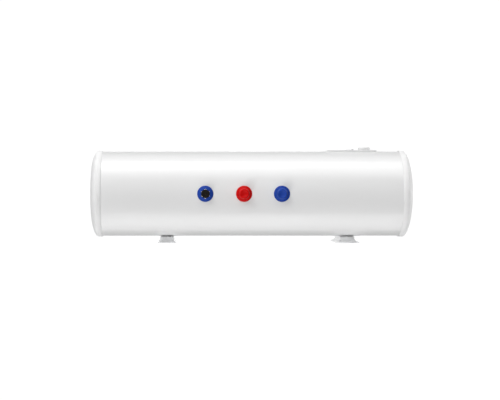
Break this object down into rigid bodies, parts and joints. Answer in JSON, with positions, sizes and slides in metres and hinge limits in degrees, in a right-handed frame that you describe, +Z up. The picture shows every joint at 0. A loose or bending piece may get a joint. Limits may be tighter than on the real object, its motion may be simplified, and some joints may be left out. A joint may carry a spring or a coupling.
{
  "type": "tank water heater",
  "caption": "Slim horizontal wall-hung electric storage water heater: white drum with domed end caps, pipe fittings below, knob and rocker panel in front, wall brackets behind.",
  "frame": {"origin": "on the wall plane behind the tank, level with the tank's axis, at mid-length", "axes": "+Z up as hung, -Y front with the controls, +Y into the wall, +X to the right as seen from the front, along the tank"},
  "size_m": [1.007, 0.3023, 0.299],
  "materials": {
    "casing_enamel": "gloss",
    "cap_plastic": "satin",
    "bracket_paint": "satin",
    "zinc_steel": "satin",
    "bright_steel": "polished",
    "tank_enamel": "gloss",
    "foam": "matte",
    "rubber": "matte",
    "black_plastic": "satin",
    "blue_plastic": "satin",
    "red_plastic": "satin",
    "knob_plastic": "satin",
    "inner_plastic": "matte",
    "lens": "gloss",
    "brass": "satin",
    "copper": "satin",
    "magnesium": "matte",
    "live_insulation": "satin",
    "neutral_insulation": "satin",
    "earth_insulation": "satin"
  },
  "bodies": {
    "tank": {"bracket_bolt_left_1": "zinc_steel", "bracket_bolt_left_2": "zinc_steel", "bracket_bolt_right_1": "zinc_steel", "bracket_bolt_right_2": "zinc_steel", "cold_inlet_diffuser": "inner_plastic", "cold_inlet_stub": "zinc_steel", "cold_rosette": "blue_plastic", "control_bracket": "zinc_steel", "control_fascia": "cap_plastic", "cord_grommet": "rubber", "cutout_sensor": "copper", "drain_fitting": "bright_steel", "drain_rosette": "blue_plastic", "earth_wire": "earth_insulation", "element_terminal_1": "zinc_steel", "element_terminal_2": "zinc_steel", "element_wire": "live_insulation", "flange_bolt_1": "zinc_steel", "flange_bolt_2": "zinc_steel", "flange_bolt_3": "zinc_steel", "flange_bolt_4": "zinc_steel", "flange_gasket": "rubber", "heating_element": "copper", "heating_flange": "zinc_steel", "hook_plate_left": "zinc_steel", "hook_plate_right": "zinc_steel", "hot_dip_tube": "inner_plastic", "hot_outlet_stub": "zinc_steel", "hot_rosette": "red_plastic", "indicator_lamp": "lens", "inner_tank": "tank_enamel", "insulation_foam": "foam", "left_cap_screw_1": "zinc_steel", "left_cap_screw_2": "zinc_steel", "left_end_cap": "cap_plastic", "magnesium_anode": "magnesium", "neutral_wire": "neutral_insulation", "outer_casing": "casing_enamel", "right_cap_screw_1": "zinc_steel", "right_cap_screw_2": "zinc_steel", "right_end_cap": "cap_plastic", "rocker_housing": "black_plastic", "safety_cutout_body": "black_plastic", "switch_wire": "live_insulation", "tank_saddle_left": "zinc_steel", "tank_saddle_right": "zinc_steel", "terminal_block": "inner_plastic", "thermostat_body": "inner_plastic", "thermostat_sensor": "copper", "thermowell": "brass", "wall_bracket_left": "bracket_paint", "wall_bracket_right": "bracket_paint"},
    "knob": {"control_knob": "knob_plastic", "thermostat_spindle": "inner_plastic"},
    "rocker": {"rocker_switch": "black_plastic"},
    "hot_cover": {"hot_cover_cap": "red_plastic"},
    "cold_cover": {"cold_cover_cap": "blue_plastic"},
    "drain_plug": {"drain_plug": "black_plastic"},
    "reset_button": {"reset_button": "red_plastic"}
  },
  "joints": [
    {"name": "knob_turn", "type": "hinge", "parent": "tank", "child": "knob", "pos_m": [0.3625, -0.2975, 0], "axis": [0, 1, 0], "range_deg": [0, 270]},
    {"name": "rocker_rock", "type": "hinge", "parent": "tank", "child": "rocker", "pos_m": [0.317, -0.2928, 0], "axis": [0, 0, 1], "range_deg": [0, 14]},
    {"name": "hot_cover_pull", "type": "slide", "parent": "tank", "child": "hot_cover", "axis": [0, 0, -1], "range_m": [0, 0.03]},
    {"name": "cold_cover_pull", "type": "slide", "parent": "tank", "child": "cold_cover", "axis": [0, 0, -1], "range_m": [0, 0.03]},
    {"name": "drain_plug_pull", "type": "slide", "parent": "tank", "child": "drain_plug", "axis": [0, 0, -1], "range_m": [0, 0.025]},
    {"name": "reset_press", "type": "slide", "parent": "tank", "child": "reset_button", "axis": [-1, 0, 0], "range_m": [0, 0.002], "stiffness_N_per_m": 300, "springref_m": -0.001}
  ]
}
